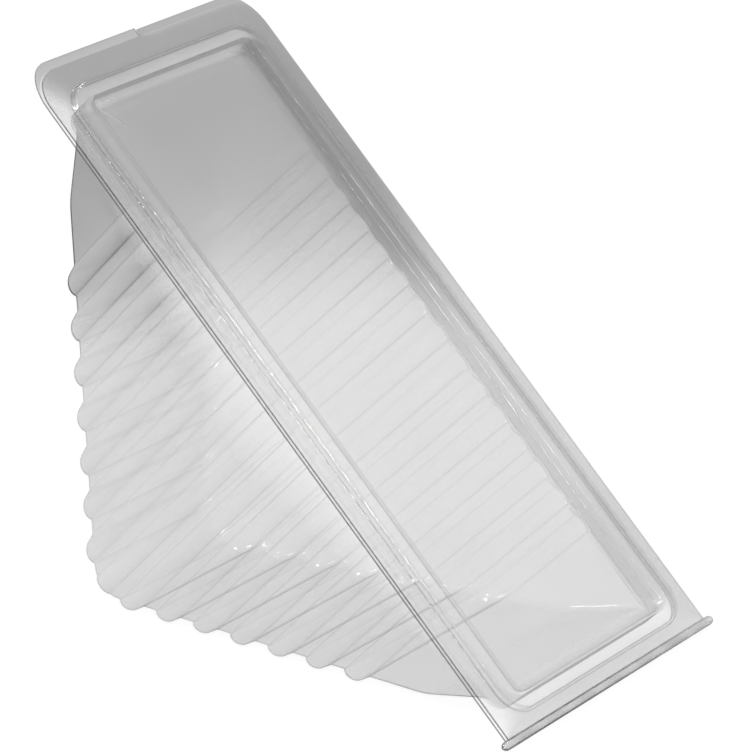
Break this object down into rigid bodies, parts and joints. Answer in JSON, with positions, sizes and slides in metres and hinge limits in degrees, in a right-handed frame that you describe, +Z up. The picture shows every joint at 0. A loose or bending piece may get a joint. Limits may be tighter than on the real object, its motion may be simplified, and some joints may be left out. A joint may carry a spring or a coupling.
{
  "type": "hinged sandwich wedge pack",
  "caption": "Clear hinged wedge-shaped sandwich pack: ribbed triangular tray with a flat lid that folds on a strip hinge and presses over the bead round the mouth.",
  "frame": {"origin": "middle of the bounding box, at the table the pack stands on", "axes": "+Z up, +X to the front where the hinge and the lid face, +Y across the width, along the hinge"},
  "size_m": [0.1286, 0.085, 0.1309],
  "materials": {
    "tray_sheet": "clear drawn plastic sheet, glossy",
    "lid_sheet": "clear drawn plastic sheet, glossy"
  },
  "bodies": {
    "tray": {"tray": "tray_sheet"},
    "lid": {"lid": "lid_sheet"}
  },
  "joints": [
    {"name": "lid_hinge", "type": "hinge", "parent": "tray", "child": "lid", "pos_m": [0.06394, 0, 0.00088], "axis": [0, 1, 0], "range_deg": [0, 110]}
  ]
}
